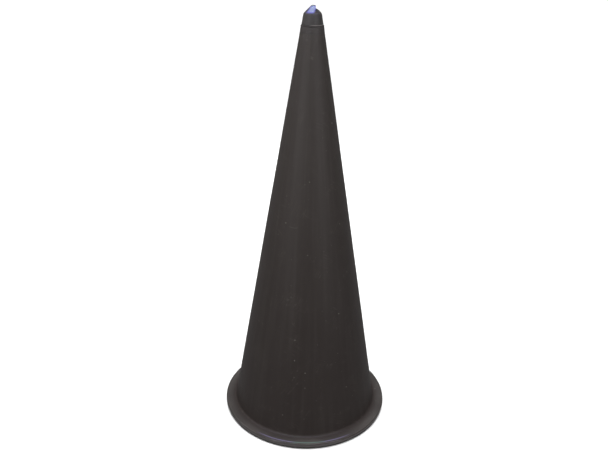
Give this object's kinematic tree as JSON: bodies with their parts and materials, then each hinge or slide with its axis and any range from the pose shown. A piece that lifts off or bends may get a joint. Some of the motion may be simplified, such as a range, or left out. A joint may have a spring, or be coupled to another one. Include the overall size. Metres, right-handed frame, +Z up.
{
  "type": "traffic cone",
  "caption": "Slim dark traffic cone with a narrow round rolled rim on a rubber ring, and a small lamp with a screw-on nose and a pale blue push light in its tip.",
  "frame": {"origin": "centre of the footprint, on the ground under the foot pads", "axes": "+Z up along the cone's axis to its tip; +X passes through the first base screw and the lamp's press switch"},
  "size_m": [0.296, 0.296, 0.711],
  "materials": {
    "moulded_black": "satin moulded plastic",
    "base_rubber": "matt moulded rubber",
    "pad_rubber": "matt rubber",
    "cap_plastic": "satin moulded plastic",
    "steel": "plain zinc-plated steel",
    "brass": "stamped brass",
    "lens_smoke": "clear smoky plastic",
    "diffuser_blue": "milky pale blue plastic",
    "silicone": "silicone rubber",
    "board_green": "glass-filled circuit board",
    "led_white": "white package, clear dome",
    "cell_wrap": "shrink wrap on a steel can"
  },
  "bodies": {
    "cone": {"cone_shell": "moulded_black", "neck_collar": "cap_plastic", "base_ring": "base_rubber", "ballast_hoop": "steel", "base_screw_1": "steel", "base_screw_2": "steel", "base_screw_3": "steel", "base_screw_4": "steel", "base_screw_5": "steel", "base_screw_6": "steel", "foot_pad_1": "pad_rubber", "foot_pad_2": "pad_rubber", "foot_pad_3": "pad_rubber", "foot_pad_4": "pad_rubber", "foot_pad_5": "pad_rubber", "foot_pad_6": "pad_rubber"},
    "lamp": {"lamp_plug": "cap_plastic", "plug_seal": "silicone", "nose_seal": "silicone", "battery_spring": "steel", "contact_strip": "brass"},
    "cell": {"battery": "cell_wrap"},
    "head": {"nose_cap": "cap_plastic", "board_retainer": "steel", "led_board": "board_green", "board_contact": "brass", "led": "led_white", "lens_boot": "silicone", "switch_housing": "silicone"},
    "button": {"lens": "lens_smoke", "diffuser": "diffuser_blue", "switch_stem": "brass"}
  },
  "joints": [
    {"name": "lamp_lift", "type": "slide", "parent": "cone", "child": "lamp", "axis": [0, 0, 1], "range_m": [0, 0.04]},
    {"name": "cell_rise", "type": "slide", "parent": "lamp", "child": "cell", "axis": [0, 0, 1], "range_m": [0, 0.0046], "deforming": ["battery_spring"]},
    {"name": "head_turn", "type": "hinge", "parent": "cell", "child": "head", "pos_m": [0, 0, 0.6818], "axis": [0, 0, 1], "range_deg": [0, 540]},
    {"name": "lens_press", "type": "slide", "parent": "head", "child": "button", "axis": [0, 0, -1], "range_m": [0, 0.0011], "stiffness_N_per_m": 300, "springref_m": -0.001, "deforming": ["lens_boot"]}
  ],
  "couplings": [
    {"joint": "cell_rise", "follows": "head_turn", "m_per_rad": 0.00047746}
  ]
}
